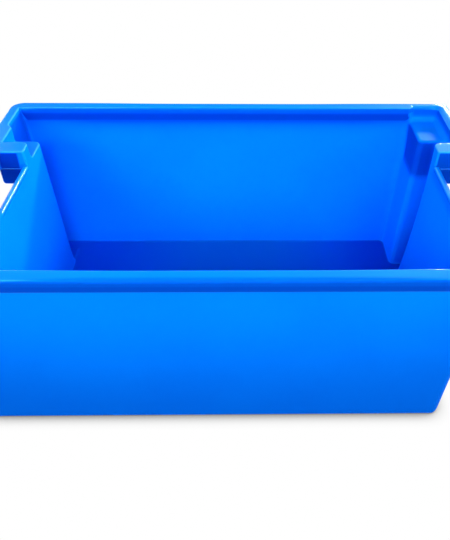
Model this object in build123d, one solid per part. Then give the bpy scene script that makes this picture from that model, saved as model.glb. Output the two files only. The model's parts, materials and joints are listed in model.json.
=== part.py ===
"""Stack-and-nest harvest crate: one thin-walled moulding, divided into its named members.

Millimetres, +Z up, origin at the middle of the underside. +X runs along the length, towards the
end with the corner columns, and +Y towards the rear. The crate is its own mirror image in Y.
Turned end for end, a second crate stands with its feet on the trays of the first; the same way
round, it slides down inside it until its nest stops meet the rim.
"""
import os

from build123d import *

# Overall size
LENGTH = 645.0
WIDTH = 413.0
HEIGHT = 240.0

# Thicknesses of the moulding
WALL = 2.6
FLOOR = 2.6
DECK = 4.0

# Pad that stands proud under the floor
PAD = 1.6
PAD_LEFT_INSET = 2.0
PAD_RIGHT_INSET = 45.0
PAD_SIDE_INSET = 0.5
PAD_CORNER = 12.0

# Width of the rim top, from its outer edge to the wall below it
END_RIM = 13.5
SIDE_RIM = 12.5
RIM_CORNER = 18.0
RIM_ROUND = 1.8

# Sloping skirt outside the rim, and sloping bead inside the long rims
SKIRT_DEPTH = 18.0
SKIRT_SLOPE = 6.5
BEAD_REACH = 8.0
BEAD_RISE = 2.4
BEAD_LEFT_GAP = 3.0
BEAD_RIGHT_GAP = 1.0
BEAD_TAPER = 7.5
BEAD_ROUND = 2.0

# How far each wall leans in from the rim down to the floor
SIDE_LEAN = 13.6
END_LEAN = 12.4
LEFT_GRIP_LEAN = 12.4
RIGHT_GRIP_LEAN = 12.4
COLUMN_LEAN = 12.4
COLUMN_FACE_LEAN = 12.4
FIN_LEAN = 18.3
FOOT_LEAN = 20.0

# Distance at rim level from the end of the crate to the inner face of each set-back wall
LEFT_GRIP_SETBACK = 55.5
RIGHT_GRIP_SETBACK = 48.0
COLUMN_SETBACK = 49.8

# Widths along Y at floor level, from the long wall inwards
COLUMN_WIDTH = 64.8
FIN_WIDTH = 16.0
FOOT_WIDTH = 37.0

# Rounded upright corners of the inside
NOSE_ROUND = 9.0
FIN_ROUND = 6.0
COVE_ROUND = 12.0
FOOT_ROUND = 10.0
CORNER_ROUND = 7.0
FLOOR_ROUND = 3.0
BASE_ROUND = 2.5

# Trays that take the feet of the crate above
TRAY_DEPTH = 21.6
TRAY_BACK = 20.5
TRAY_ROUND = 5.0
JOG_RUN = 15.0
JOG_ROUND = 5.0
LEAD_WIDTH = 6.5
LEAD_DEPTH = 3.4

# Hand grips: bar, decks beside the dip, lip along the lowered wall
BAR_WIDTH = 18.5
BAND_WIDTH = 26.5
BAND_ROUND = 3.0
DIP_ROUND = 6.0
DIP_DEPTH = 21.6
GRIP_DEPTH = 26.5
LIP_WIDTH = 7.0
LIP_DEPTH = 7.0
LIP_ROUND = 2.0

# Nest stops under the grip decks
NEST_PITCH = 51.0
STOP_GAP = 1.5
STOP_WALL = 2.6
STOP_REACH = 16.5
STOP_TAPER = 1.0
STOP_ROUND = 4.0

# Seams between the members: height above the floor, and margins past the rounded corners
BASE_LIP = 1.0
TRAY_LIP = 6.0
SEAM_MARGIN = 4.0

# Places worked out from the sizes above
HALF_LENGTH = LENGTH / 2
HALF_WIDTH = WIDTH / 2
FLOOR_TOP = PAD + FLOOR
DECK_UNDER = HEIGHT - DECK
TRAY_TOP = HEIGHT - TRAY_DEPTH
TRAY_UNDER = TRAY_TOP - WALL
TRAY_SEAM = TRAY_UNDER - TRAY_LIP
BASE_SEAM = FLOOR_TOP + BASE_LIP
DIP_TOP = HEIGHT - DIP_DEPTH
LIP_UNDER = DIP_TOP - LIP_DEPTH
GRIP_UNDER = HEIGHT - GRIP_DEPTH
STOP_UNDER = HEIGHT - NEST_PITCH
SKIRT_UNDER = DECK_UNDER - SKIRT_DEPTH
BEAD_UNDER = TRAY_TOP + BEAD_RISE
BAR_INNER = HALF_LENGTH - BAR_WIDTH
TRAY_BACK_X = HALF_LENGTH - TRAY_BACK
BEAD_EDGE = HALF_WIDTH - SIDE_RIM - BEAD_REACH


def lean(total, z):
    """Part of a wall's whole lean that it has at height z: none at the rim, all at the floor."""
    return total * (HEIGHT - z) / (HEIGHT - FLOOR_TOP)


def side_y(z):
    return HALF_WIDTH - SIDE_RIM - lean(SIDE_LEAN, z)


def end_x(z):
    return HALF_LENGTH - END_RIM - lean(END_LEAN, z)


def left_grip_x(z):
    """Distance of the left grip wall from the middle of the crate."""
    return HALF_LENGTH - LEFT_GRIP_SETBACK - lean(LEFT_GRIP_LEAN, z)


def right_grip_x(z):
    return HALF_LENGTH - RIGHT_GRIP_SETBACK - lean(RIGHT_GRIP_LEAN, z)


def column_x(z):
    return HALF_LENGTH - COLUMN_SETBACK - lean(COLUMN_LEAN, z)


def column_y(z):
    """Face of the corner column that turns towards the middle of the end."""
    return side_y(FLOOR_TOP) - COLUMN_WIDTH + COLUMN_FACE_LEAN - lean(COLUMN_FACE_LEAN, z)


def fin_y(z):
    """Side of the grip section, which the fin and the left tray stand against."""
    return side_y(FLOOR_TOP) - COLUMN_WIDTH - FIN_WIDTH - FIN_LEAN + lean(FIN_LEAN, z)


def foot_y(z):
    """Side of the left corner foot that turns towards the middle of the end."""
    return side_y(FLOOR_TOP) - FOOT_WIDTH - FOOT_LEAN + lean(FOOT_LEAN, z)


GRIP_HALF = fin_y(HEIGHT)
DIP_HALF = GRIP_HALF - BAND_WIDTH
STOP_Y = DIP_HALF + WALL + STOP_GAP
JOG_Y = foot_y(TRAY_TOP)
BEAD_LEFT = -end_x(DECK_UNDER) + CORNER_ROUND + BEAD_LEFT_GAP
BEAD_RIGHT = column_x(TRAY_TOP) - BEAD_RIGHT_GAP

# Seam planes, on straight stretches of the walls they cross
LEFT_SEAM = -left_grip_x(FLOOR_TOP) + NOSE_ROUND
RIGHT_SEAM = column_x(FLOOR_TOP) - COVE_ROUND - SEAM_MARGIN
GRIP_SEAM = GRIP_HALF - NOSE_ROUND - SEAM_MARGIN
FOOT_SEAM = foot_y(HEIGHT) - NOSE_ROUND - SEAM_MARGIN
COLUMN_SEAM = column_y(HEIGHT) + NOSE_ROUND + SEAM_MARGIN
LEFT_TRAY_SEAM = JOG_Y + JOG_RUN + JOG_ROUND
RIGHT_TRAY_SEAM = column_y(TRAY_SEAM) - FIN_ROUND - SEAM_MARGIN


def mirrored_plan(half, z):
    """Level face at height z from the corners of its rear half, right to left, as (x, y, radius)."""
    corners = half + [(x, -y, radius) for x, y, radius in reversed(half)]
    points = [(x, y) for x, y, radius in corners]
    radii = [radius for x, y, radius in corners]
    return Pos(0, 0, z) * make_face(FilletPolyline(*points, radius=radii, close=True))


def tub_plan(z, grow=0.0):
    """Inside of the crate below the trays, or with grow = WALL its outside."""
    side = side_y(z) + grow
    end = end_x(z) + grow
    left_grip = -left_grip_x(z) - grow
    right_grip = right_grip_x(z) + grow
    column = column_x(z) + grow
    column_face = column_y(z) + grow
    fin = fin_y(z) - grow
    foot = foot_y(z) - grow
    return mirrored_plan([
        (right_grip, fin, NOSE_ROUND - grow),
        (end, fin, FIN_ROUND + grow),
        (end, column_face, FIN_ROUND + grow),
        (column, column_face, NOSE_ROUND - grow),
        (column, side, COVE_ROUND + grow),
        (-end, side, CORNER_ROUND + grow),
        (-end, foot, FOOT_ROUND + grow),
        (left_grip, foot, NOSE_ROUND - grow),
    ], z)


def upper_corners(z, grow):
    """Rear corners of the inside above the tray floors, split where the long rim has its bead."""
    side = side_y(z) + grow
    end = end_x(z) + grow
    left_grip = -left_grip_x(z) - grow
    right_grip = right_grip_x(z) + grow
    tray_back = -TRAY_BACK_X - grow
    grip_side = fin_y(z) - grow
    right = [
        (right_grip, grip_side, NOSE_ROUND - grow),
        (end, grip_side, FIN_ROUND + grow),
        (end, side, TRAY_ROUND + grow),
    ]
    left = [
        (-end, side, CORNER_ROUND + grow),
        (-end, JOG_Y + JOG_RUN - grow, JOG_ROUND + grow),
        (tray_back, JOG_Y - grow, JOG_ROUND - grow),
        (tray_back, grip_side, TRAY_ROUND + grow),
        (left_grip, grip_side, NOSE_ROUND - grow),
    ]
    return right, left


def upper_plan(z, grow=0.0):
    """Inside of the crate from the tray floors up, or with grow = WALL its outside."""
    right, left = upper_corners(z, grow)
    return mirrored_plan(right + left, z)


def rim_opening():
    """Opening in the rim top: the inside of the crate with the dips added and the beads left out."""
    right, left = upper_corners(DECK_UNDER, 0.0)
    side = side_y(DECK_UNDER)
    right_grip, left_grip = right[0][0], left[-1][0]
    right_dip = [
        (BAR_INNER, DIP_HALF, DIP_ROUND),
        (right_grip, DIP_HALF, BAND_ROUND),
        (right_grip, GRIP_HALF, BAND_ROUND),
    ]
    bead = [
        (BEAD_RIGHT, side, BEAD_ROUND),
        (BEAD_RIGHT - BEAD_TAPER, BEAD_EDGE, BEAD_ROUND),
        (BEAD_LEFT + BEAD_TAPER, BEAD_EDGE, BEAD_ROUND),
        (BEAD_LEFT, side, BEAD_ROUND),
    ]
    left_dip = [
        (left_grip, GRIP_HALF, BAND_ROUND),
        (left_grip, DIP_HALF, BAND_ROUND),
        (-BAR_INNER, DIP_HALF, DIP_ROUND),
    ]
    fin_corner = (right[1][0], GRIP_HALF, right[1][2])
    tray_corner = (left[3][0], GRIP_HALF, left[3][2])
    return mirrored_plan(
        right_dip + [fin_corner, right[2]] + bead + left[:3] + [tray_corner] + left_dip, DECK_UNDER
    )


def cell(x, y, z):
    """Block between the given pairs of limits."""
    low = (x[0], y[0], z[0])
    size = [pair[1] - pair[0] for pair in (x, y, z)]
    return Pos(*low) * Box(*size, align=(Align.MIN, Align.MIN, Align.MIN))


def end_profile(points, reach, rounds=()):
    """Bar across an end: a section of (x, z) points carried to reach either side of the middle."""
    section = make_face(Polyline(*points, close=True))
    for index, radius in rounds:
        corner = section.vertices().sort_by_distance(points[index])[0]
        section = fillet(corner, radius)
    return extrude(Plane.XZ * section, reach, both=True)


def turned(solid):
    """Front twin of a rear member."""
    return mirror(solid, Plane.XZ)


# Walls and floor as one shell
tub_outside = loft([tub_plan(PAD, WALL), tub_plan(TRAY_UNDER, WALL)], ruled=True)
tub_outside = fillet(tub_outside.faces().sort_by(Axis.Z)[0].edges(), BASE_ROUND)
tub_inside = loft([tub_plan(FLOOR_TOP), tub_plan(TRAY_TOP)], ruled=True)
tub_inside = fillet(tub_inside.faces().sort_by(Axis.Z)[0].edges(), FLOOR_ROUND)
upper_outside = loft([upper_plan(TRAY_UNDER, WALL), upper_plan(DECK_UNDER, WALL)], ruled=True)
upper_inside = loft([upper_plan(TRAY_TOP), upper_plan(DECK_UNDER)], ruled=True)
shell = tub_outside + upper_outside - tub_inside - upper_inside

# Dips: the grip walls stop under their lips
for inner in (left_grip_x, right_grip_x):
    across = (inner(LIP_UNDER) - WALL, inner(DECK_UNDER) + 2 * WALL)
    if inner is left_grip_x:
        across = (-across[1], -across[0])
    shell -= cell(across, (-DIP_HALF, DIP_HALF), (LIP_UNDER, HEIGHT))

# Reach of the cutting blocks beyond the crate
FAR_X = LENGTH
FAR_Y = WIDTH
LEFT = (-FAR_X, LEFT_SEAM)
MIDDLE = (LEFT_SEAM, RIGHT_SEAM)
RIGHT = (RIGHT_SEAM, FAR_X)
LOWER = (BASE_SEAM, TRAY_SEAM)
UPPER = (TRAY_SEAM, DECK_UNDER)
TALL = (BASE_SEAM, DECK_UNDER)

members = {}
pairs = {}

# Floor and its pad
members["base_panel"] = shell & cell((-FAR_X, FAR_X), (-FAR_Y, FAR_Y), (0.0, BASE_SEAM))
pad_left = -left_grip_x(FLOOR_TOP) + PAD_LEFT_INSET
pad_right = column_x(FLOOR_TOP) - PAD_RIGHT_INSET
pad_plan = RectangleRounded(
    pad_right - pad_left, 2 * (side_y(FLOOR_TOP) - PAD_SIDE_INSET), PAD_CORNER
)
members["base_pad"] = extrude(Pos((pad_left + pad_right) / 2, 0, 0) * pad_plan, PAD)

# Walls, feet, columns and fins
pairs["wall"] = shell & cell(MIDDLE, (0, FAR_Y), TALL)
members["left_grip_wall"] = (shell & cell(LEFT, (-FOOT_SEAM, FOOT_SEAM), LOWER)) + (
    shell & cell(LEFT, (-GRIP_SEAM, GRIP_SEAM), UPPER)
)
members["right_grip_wall"] = shell & cell(RIGHT, (-GRIP_SEAM, GRIP_SEAM), TALL)
pairs["left_corner_foot"] = (shell & cell(LEFT, (FOOT_SEAM, FAR_Y), LOWER)) + (
    shell & cell(LEFT, (LEFT_TRAY_SEAM, FAR_Y), UPPER)
)
pairs["right_fin"] = (shell & cell(RIGHT, (GRIP_SEAM, COLUMN_SEAM), LOWER)) + (
    shell & cell(RIGHT, (GRIP_SEAM, RIGHT_TRAY_SEAM), UPPER)
)
pairs["right_column"] = shell & cell(RIGHT, (COLUMN_SEAM, FAR_Y), LOWER)
pairs["left_tray"] = shell & cell(LEFT, (GRIP_SEAM, LEFT_TRAY_SEAM), UPPER)
pairs["right_tray"] = shell & cell(RIGHT, (RIGHT_TRAY_SEAM, FAR_Y), UPPER)

# Rim top with its rounded edges, and the lead-in above each right tray
opening = rim_opening()
rim_top = Pos(0, 0, DECK_UNDER) * RectangleRounded(LENGTH, WIDTH, RIM_CORNER) - opening
deck = extrude(rim_top, DECK)
deck = fillet(deck.faces().sort_by(Axis.Z)[-1].edges(), RIM_ROUND)
lead_edge = side_y(DECK_UNDER)
lead_in = make_face(Polyline(
    (lead_edge, HEIGHT - LEAD_DEPTH), (lead_edge + LEAD_WIDTH, HEIGHT), (lead_edge, HEIGHT), close=True
))
lead_length = end_x(DECK_UNDER) - TRAY_ROUND - BEAD_RIGHT
lead_in = Pos(BEAD_RIGHT, 0, 0) * extrude(Plane.YZ * lead_in, lead_length)
deck = deck - lead_in - turned(lead_in)

# Skirt outside the walls, and the rim cut into its runs
skirt = loft([
    Pos(0, 0, SKIRT_UNDER) * RectangleRounded(
        LENGTH - 2 * SKIRT_SLOPE, WIDTH - 2 * SKIRT_SLOPE, RIM_CORNER - SKIRT_SLOPE
    ),
    Pos(0, 0, DECK_UNDER) * RectangleRounded(LENGTH, WIDTH, RIM_CORNER),
], ruled=True)
skirt -= upper_outside
rim = deck + skirt
ABOVE = (SKIRT_UNDER, HEIGHT)
pairs["rim"] = rim & cell(MIDDLE, (0, FAR_Y), ABOVE)
pairs["left_rim_corner"] = rim & cell(LEFT, (GRIP_HALF, FAR_Y), ABOVE)
pairs["right_rim_corner"] = rim & cell(RIGHT, (GRIP_HALF, FAR_Y), ABOVE)

# Bead under the inner edge of each long rim
bead_section = make_face(Polyline(
    (BEAD_EDGE, DECK_UNDER),
    (side_y(DECK_UNDER), DECK_UNDER),
    (side_y(BEAD_UNDER), BEAD_UNDER),
    close=True,
))
bead = Pos(BEAD_LEFT, 0, 0) * extrude(Plane.YZ * bead_section, BEAD_RIGHT - BEAD_LEFT)
pairs["rim_bead"] = bead - extrude(opening, BEAD_UNDER - DECK_UNDER)

# Grips at the two ends
for end_name, sign, inner, side in (
    ("left", -1, left_grip_x, LEFT),
    ("right", 1, right_grip_x, RIGHT),
):
    skirt_x = HALF_LENGTH - SKIRT_SLOPE
    outer_leg = end_profile([
        (sign * HALF_LENGTH, DECK_UNDER),
        (sign * skirt_x, SKIRT_UNDER),
        (sign * skirt_x, GRIP_UNDER),
        (sign * (skirt_x - WALL), GRIP_UNDER),
        (sign * (skirt_x - WALL), DECK_UNDER),
    ], GRIP_HALF)
    inner_leg = end_profile([
        (sign * BAR_INNER, DECK_UNDER),
        (sign * (BAR_INNER + WALL), DECK_UNDER),
        (sign * (BAR_INNER + WALL), GRIP_UNDER),
        (sign * BAR_INNER, GRIP_UNDER),
    ], DIP_HALF)
    middle = cell(side, (-DIP_HALF, DIP_HALF), (GRIP_UNDER, HEIGHT))
    members[f"{end_name}_grip_bar"] = (deck & middle) + (outer_leg & middle) + inner_leg

    beside = cell(side, (DIP_HALF, GRIP_HALF), (GRIP_UNDER, HEIGHT))
    cheek_x = sorted((sign * inner(GRIP_UNDER), sign * (skirt_x - WALL)))
    cheek = cell(cheek_x, (DIP_HALF, DIP_HALF + WALL), (GRIP_UNDER, DECK_UNDER))
    cheek = cheek - tub_outside - upper_outside
    pairs[f"{end_name}_grip_deck"] = (deck & beside) + (outer_leg & beside) + cheek

    members[f"{end_name}_grip_lip"] = end_profile([
        (sign * inner(LIP_UNDER), LIP_UNDER),
        (sign * inner(DIP_TOP), DIP_TOP),
        (sign * (inner(DIP_TOP) + LIP_WIDTH), DIP_TOP),
        (sign * (inner(LIP_UNDER) + LIP_WIDTH), LIP_UNDER),
    ], DIP_HALF, rounds=((1, LIP_ROUND), (2, LIP_ROUND)))

    stop_x = HALF_LENGTH - STOP_REACH
    stop = end_profile([
        (sign * inner(STOP_UNDER), STOP_UNDER),
        (sign * (stop_x - STOP_TAPER), STOP_UNDER),
        (sign * stop_x, DECK_UNDER),
        (sign * inner(STOP_UNDER), DECK_UNDER),
    ], FAR_Y, rounds=((1, STOP_ROUND),))
    stop &= cell(side, (STOP_Y, STOP_Y + STOP_WALL), (STOP_UNDER, DECK_UNDER))
    pairs[f"{end_name}_nest_stop"] = stop - tub_outside - upper_outside

for name, solid in pairs.items():
    members[f"rear_{name}"] = solid
    members[f"front_{name}"] = turned(solid)

os.makedirs("parts", exist_ok=True)
for name, solid in members.items():
    export_step(solid, f"parts/{name}.step")
print(len(members), "members,", round(sum(solid.volume for solid in members.values()) / 1000), "cm3")
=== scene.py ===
"""Looks of the stack-and-nest harvest crate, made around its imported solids.

The crate is one moulding, so its skin is worked out as a whole: a function tells how far a point is
from the plastic, and the skin is the surface where that distance is nothing. The skin is then cut at
the seams of the solids, and each cut piece stands for the solids it covers. Lengths of the crate are
in millimetres, and the finished pieces are in metres.
"""
import json
import math

import bmesh
import bpy
import numpy as np
from mathutils import Matrix, Vector


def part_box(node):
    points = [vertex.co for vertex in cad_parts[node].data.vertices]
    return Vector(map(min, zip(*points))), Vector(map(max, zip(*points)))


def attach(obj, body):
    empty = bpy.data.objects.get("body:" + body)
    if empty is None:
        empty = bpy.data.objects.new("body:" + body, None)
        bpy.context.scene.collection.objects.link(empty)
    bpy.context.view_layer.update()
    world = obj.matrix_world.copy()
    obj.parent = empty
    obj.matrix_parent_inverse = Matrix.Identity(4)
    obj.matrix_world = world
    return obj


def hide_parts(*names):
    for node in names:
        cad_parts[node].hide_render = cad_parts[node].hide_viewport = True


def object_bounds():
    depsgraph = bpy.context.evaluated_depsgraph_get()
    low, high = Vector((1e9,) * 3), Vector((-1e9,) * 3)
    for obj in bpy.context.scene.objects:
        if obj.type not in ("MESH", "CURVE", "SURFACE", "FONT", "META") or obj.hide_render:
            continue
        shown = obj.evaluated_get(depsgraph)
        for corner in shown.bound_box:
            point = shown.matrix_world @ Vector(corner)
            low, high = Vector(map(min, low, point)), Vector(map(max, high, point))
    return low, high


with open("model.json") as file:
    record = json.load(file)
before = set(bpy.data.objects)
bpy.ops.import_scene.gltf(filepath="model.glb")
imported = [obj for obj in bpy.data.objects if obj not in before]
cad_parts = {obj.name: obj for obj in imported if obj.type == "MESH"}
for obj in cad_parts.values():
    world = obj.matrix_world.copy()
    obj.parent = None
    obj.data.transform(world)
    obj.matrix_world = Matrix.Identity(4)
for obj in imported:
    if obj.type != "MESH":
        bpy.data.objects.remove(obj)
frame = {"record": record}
cad_low, cad_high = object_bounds()
MM = 0.001


def node_box(node):
    """Lowest and highest corner of a solid, in millimetres."""
    low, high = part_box(node)
    return [value / MM for value in low], [value / MM for value in high]


# Overall size and seams, read from the solids
HALF_LENGTH = cad_high.x / MM
HALF_WIDTH = cad_high.y / MM
HEIGHT = cad_high.z / MM

pad_low, pad_high = node_box("base_pad")
wall_low, wall_high = node_box("rear_wall")
bead_low, bead_high = node_box("rear_rim_bead")
lip_low, lip_high = node_box("left_grip_lip")
deck_low, deck_high = node_box("rear_left_grip_deck")
stop_low, stop_high = node_box("rear_left_nest_stop")
column_low, column_high = node_box("rear_right_column")

# The skin's bead has its edge further out and its foot lower than the solid one
BEAD_SHIFT = 2.5
BEAD_DROP = 6.5

BASE_SEAM = node_box("base_panel")[1][2]
LEFT_SEAM = wall_low[0]
RIGHT_SEAM = wall_high[0]
TRAY_SEAM = column_high[2]
COLUMN_SEAM = column_low[1]
FOOT_SEAM = node_box("left_grip_wall")[1][1]
GRIP_SEAM = node_box("right_grip_wall")[1][1]
DECK_UNDER = wall_high[2]
SKIRT_UNDER = node_box("rear_rim")[0][2]
BEAD_EDGE = bead_low[1] + BEAD_SHIFT
BEAD_UNDER = bead_low[2] - BEAD_DROP
BEAD_RIGHT = bead_high[0]
DIP_HALF = lip_high[1]
DIP_TOP = lip_high[2]
LIP_UNDER = lip_low[2]
GRIP_HALF = deck_high[1]
GRIP_UNDER = deck_low[2]
STOP_UNDER = stop_low[2]
STOP_END = -stop_low[0]
STOP_MIDDLE = (stop_low[1] + stop_high[1]) / 2
PAD = pad_high[2]
TRAY_TOP = next(
    mount["pos_m"][2] / MM
    for mount in frame["record"]["mounts"]
    if mount["name"] == "rear_left_tray_floor"
)

# Thickness of the walls and the floor
WALL = 2.6
FLOOR = 2.6
FLOOR_TOP = PAD + FLOOR

# Rim and skirt: the right corners are tighter, and the long rims are worn softer in the middle
END_RIM = 13.5
SIDE_RIM = 12.5
RIM_CORNER = 18.0
RIGHT_RIM_CORNER = 7.2
RIM_ROUND = 2.0
RIM_SOFT = 4.0
RIM_WORN = 90.0
RIM_UNWORN = 220.0
RIM_FLAT = 9.0
RIM_FALL = 0.3
RIM_FALL_RUN = 3.0
SKIRT_SLOPE = 6.5
SKIRT_ROUND = 1.2
SKIRT_FILLET = 2.0

# Leans of the inner faces from rim to floor, and how far the forms of the ends stand in
SIDE_LEAN = 13.6
END_LEAN = 12.4
FIN_LEAN = 18.3
FOOT_LEAN = 20.0
LEFT_GRIP_SETBACK = 55.5
RIGHT_GRIP_SETBACK = 48.0
COLUMN_SETBACK = 49.8
COLUMN_WIDTH = 64.8
FOOT_WIDTH = 37.0

# Roundings of upright edges; the right columns have a lining inside
NOSE_ROUND = 9.0
FIN_ROUND = 6.0
COVE_ROUND = 9.0
COLUMN_NOSE = 8.0
COLUMN_LINING = 2.5
LINING_LEAN = 3.5
GRIP_NOSE = 12.0
FOOT_ROUND = 10.0
FOOT_NOSE = 18.0
CORNER_ROUND = 7.0

# Edge of the floor, base with its pad, and the sill beside the left wall
FLOOR_ROUND = 4.0
BASE_ROUND = 1.2
BASE_LIFT = 5.0
BASE_RUN = 9.0
BASE_END = HALF_LENGTH - COLUMN_SETBACK - END_LEAN + WALL
PAD_CORNER = 12.0
PAD_EDGE = 1.6
SILL = 2.0
SILL_EDGE = 253.0
SILL_END = 158.0
SILL_RUN = 5.0
SILL_SOFT = 2.0

# Bead under the long rims
BEAD_REACH = 8.0
BEAD_TAPER = 7.5
BEAD_ROUND = 2.0
BEAD_FILLET = 1.5
BEAD_MARGIN = 14.0
BEAD_CLEAR = 8.0

# Trays, the step of the left rim beside them, and the lead-in round the right ones
TRAY_BACK = 20.5
TRAY_ROUND = 5.0
UNDER_TRAY = 4.0
WELL_UNDER_TRAY = 18.0
LEFT_TRAY_EDGE = 1.6
RIGHT_TRAY_EDGE = 3.0
LEFT_TRAY_FILLET = 4.0
LEFT_FILLET_FOOT = 8.0
LEFT_FILLET_HEAD = 1.0
RIGHT_TRAY_FILLET = 8.0
JOG_CORNER = 1.2
JOG_RUN = 9.0
JOG_ROUND = 1.0
LEAD_WIDTH = 3.5
LEAD_DEPTH = 3.4
LEAD_ROUND = 0.8
LEAD_MARGIN = 14.0

# Hand grips and nest stops
BAR_WIDTH = 18.5
BAND_ROUND = 3.0
DIP_ROUND = 6.0
LIP_WIDTH = 7.0
LIP_ROUND = 3.0
GRIP_ROUND = 1.2
STOP_WALL = 2.6
STOP_TAPER = 1.0
STOP_ROUND = 4.0
STOP_EDGE = 0.6
STOP_CLEAR = 1.0

# Faces that follow from these sizes
BAR_INNER = HALF_LENGTH - BAR_WIDTH
TRAY_BACK_X = HALF_LENGTH - TRAY_BACK
SIDE = HALF_WIDTH - SIDE_RIM
END = HALF_LENGTH - END_RIM
FLOOR_SIDE = SIDE - SIDE_LEAN
COLUMN_FACE = FLOOR_SIDE - COLUMN_WIDTH + END_LEAN
FOOT_FACE = FLOOR_SIDE - FOOT_WIDTH - FOOT_LEAN
JOG_Y = FOOT_FACE + FOOT_LEAN * (HEIGHT - TRAY_TOP) / (HEIGHT - FLOOR_TOP)


def eased(start, stop, value):
    """Rises smoothly from 0 at start to 1 at stop."""
    part = np.clip((value - start) / (stop - start), 0.0, 1.0)
    return part * part * (3.0 - 2.0 * part)


def both(a, b, radius):
    """Distance to what two shapes share, with the edge between them rounded."""
    over = np.hypot(np.maximum(a + radius, 0.0), np.maximum(b + radius, 0.0))
    return np.minimum(np.maximum(a, b), -radius) + over


def either(a, b, radius):
    """Distance to two shapes joined by a fillet."""
    under = np.hypot(np.maximum(radius - a, 0.0), np.maximum(radius - b, 0.0))
    return np.maximum(np.minimum(a, b), radius) - under


def left_grip_reach(fall):
    return HALF_LENGTH - LEFT_GRIP_SETBACK - END_LEAN * fall


def right_grip_reach(fall):
    return HALF_LENGTH - RIGHT_GRIP_SETBACK - END_LEAN * fall


def hollow_sides(x, y, z, fall):
    """Distance from the crate's inside, taken as having no floor, below zero inside it.

    The second distance is the same without the lining that thickens the right corner columns.
    """
    side = SIDE - SIDE_LEAN * fall
    end = END - END_LEAN * fall
    fin = GRIP_HALF + FIN_LEAN * fall
    foot = FOOT_FACE + FOOT_LEAN * fall
    column = HALF_LENGTH - COLUMN_SETBACK - END_LEAN * fall
    column_face = COLUMN_FACE - END_LEAN * fall
    below_tray = eased(TRAY_TOP - UNDER_TRAY, TRAY_TOP - WELL_UNDER_TRAY, z)
    left_nose = NOSE_ROUND + FOOT_NOSE * np.clip(fall, 0.0, 1.0)
    right_nose = NOSE_ROUND + GRIP_NOSE * 4.0 * np.clip(fall * (1.0 - fall), 0.0, 0.25)
    left_corner = JOG_CORNER + (FOOT_ROUND - JOG_CORNER) * below_tray

    # Left end: corner foot with the tray on top, beside the grip wall
    left_face = x + left_grip_reach(fall)
    fin_block = both(y - fin, left_face, left_nose)
    foot_block = both(both(y - foot, left_face, left_nose), z - TRAY_TOP, LEFT_TRAY_EDGE)
    fillet_part = eased(TRAY_TOP - LEFT_FILLET_FOOT, TRAY_TOP - LEFT_FILLET_HEAD, z)
    left_block = np.maximum(either(fin_block, foot_block, LEFT_TRAY_FILLET * fillet_part), left_face)
    jog_length = math.hypot(JOG_RUN, END - TRAY_BACK_X)
    jog = ((x + TRAY_BACK_X) * JOG_RUN + (y - JOG_Y) * (END - TRAY_BACK_X)) / jog_length
    tray_back = np.maximum(both(x + TRAY_BACK_X, jog, JOG_ROUND), TRAY_TOP - WALL - z)
    left_block = either(left_block, tray_back, LEFT_TRAY_FILLET)

    # Right end: grip wall and corner column, with the fin standing between them
    right_block = both(right_grip_reach(fall) - x, y - fin, right_nose)
    column_block = both(column - x, column_face - y, COLUMN_NOSE)
    lining = COLUMN_LINING + LINING_LEAN * fall
    lined_block = both(column - lining - x, column_face - y, COLUMN_NOSE)
    column_block = both(column_block, z - TRAY_TOP, RIGHT_TRAY_EDGE)
    lined_block = both(lined_block, z - TRAY_TOP, RIGHT_TRAY_EDGE)
    cove = RIGHT_TRAY_FILLET + (COVE_ROUND - RIGHT_TRAY_FILLET) * below_tray

    sides = both(y - side, -x - end, CORNER_ROUND)
    sides = both(sides, x - end, TRAY_ROUND)
    sides = both(sides, -left_block, left_corner)
    sides = both(sides, -right_block, FIN_ROUND)
    return both(sides, -lined_block, cove), both(sides, -column_block, cove)


def base_height(x, y):
    """Height of the underside, which is lower where the pad stands out."""
    middle = (pad_low[0] + pad_high[0]) / 2
    over_x = np.abs(x - middle) - (pad_high[0] - pad_low[0]) / 2 + PAD_CORNER
    over_y = y - pad_high[1] + PAD_CORNER
    past = np.hypot(np.maximum(over_x, 0.0), np.maximum(over_y, 0.0))
    past = past + np.minimum(np.maximum(over_x, over_y), 0.0) - PAD_CORNER
    return PAD * eased(-PAD_EDGE, 0.0, past)


def rim_bead(x, y, z):
    """Distance from the bead along a long rim, which runs into the left end and stops at the right."""
    bead_foot = SIDE - SIDE_LEAN * (HEIGHT - BEAD_UNDER) / (HEIGHT - FLOOR_TOP)
    slope = (bead_foot - BEAD_EDGE) / (DECK_UNDER - BEAD_UNDER)
    face = (BEAD_EDGE + slope * np.maximum(DECK_UNDER - z, 0.0) - y) / math.hypot(1.0, slope)
    drawn_in = BEAD_TAPER * (SIDE - y) / BEAD_REACH
    end = (x + drawn_in - BEAD_RIGHT) / math.hypot(1.0, BEAD_TAPER / BEAD_REACH)
    return both(face, end, BEAD_ROUND)


def tray_lead(x, y, z):
    """Distance from the lead-in round the mouth of a right tray, where the rim is cut back."""
    opening = both(y - SIDE, x - END, TRAY_ROUND)
    widened = (z - HEIGHT + LEAD_DEPTH) * LEAD_WIDTH / LEAD_DEPTH
    cut_back = (opening - widened) / math.hypot(1.0, LEAD_WIDTH / LEAD_DEPTH)
    beside = np.maximum(BEAD_RIGHT - x, COLUMN_FACE - LEAD_MARGIN - y)
    return np.maximum(np.maximum(cut_back, beside), HEIGHT - LEAD_DEPTH - z)


def rim_middle(x):
    """The middle of a long rim, where its edges are worn: 1 there and 0 near the ends."""
    return eased(RIM_UNWORN, RIM_WORN, np.abs(x))


def beside_bead(y):
    """1 from the edge of a bead outwards, and 0 well inside the crate."""
    return eased(BEAD_EDGE - BEAD_MARGIN, BEAD_EDGE - BEAD_CLEAR, y)


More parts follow.
